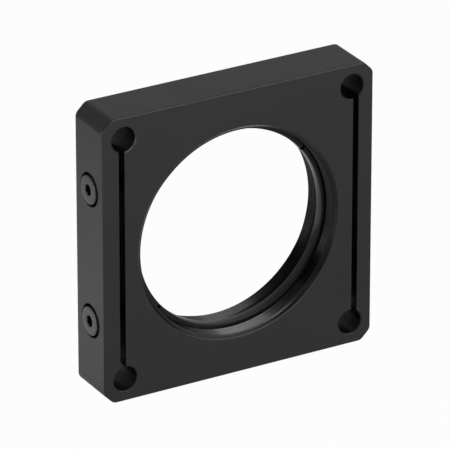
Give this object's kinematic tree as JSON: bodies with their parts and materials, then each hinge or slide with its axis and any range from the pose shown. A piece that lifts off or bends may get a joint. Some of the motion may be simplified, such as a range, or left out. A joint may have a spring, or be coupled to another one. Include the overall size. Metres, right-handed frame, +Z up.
{
  "type": "optical cage plate",
  "caption": "Square black plate with a threaded bore and retaining ring; slides on corner rods and clamps on them with side screws.",
  "frame": {"origin": "centre of the bore at half the plate's thickness", "axes": "+Z up, +X across the plate to the right seen from the front, +Y from the front face to the back face"},
  "size_m": [0.0718, 0.0126, 0.0712],
  "materials": {
    "anodised_plate": "fine satin black anodising",
    "anodised_ring": "turned, black anodised",
    "black_steel": "black oxide"
  },
  "bodies": {
    "plate": {"cage_plate": "anodised_plate"},
    "ring": {"retaining_ring": "anodised_ring"},
    "left_upper_screw": {"left_upper_clamp_screw": "black_steel"},
    "left_lower_screw": {"left_lower_clamp_screw": "black_steel"},
    "right_upper_screw": {"right_upper_clamp_screw": "black_steel"},
    "right_lower_screw": {"right_lower_clamp_screw": "black_steel"}
  },
  "joints": [
    {"name": "ring_travel", "type": "slide", "parent": "plate", "child": "ring", "axis": [0, 1, 0], "range_m": [-0.00318, 0.00635]},
    {"name": "left_upper_screw_turn", "type": "hinge", "parent": "plate", "child": "left_upper_screw", "pos_m": [-0.03556, 0, 0.0165], "axis": [-1, 0, 0], "range_deg": [0, 450]},
    {"name": "left_lower_screw_turn", "type": "hinge", "parent": "plate", "child": "left_lower_screw", "pos_m": [-0.03556, 0, -0.0165], "axis": [-1, 0, 0], "range_deg": [0, 450]},
    {"name": "right_upper_screw_turn", "type": "hinge", "parent": "plate", "child": "right_upper_screw", "pos_m": [0.03556, 0, 0.0165], "axis": [1, 0, 0], "range_deg": [0, 450]},
    {"name": "right_lower_screw_turn", "type": "hinge", "parent": "plate", "child": "right_lower_screw", "pos_m": [0.03556, 0, -0.0165], "axis": [1, 0, 0], "range_deg": [0, 450]}
  ]
}
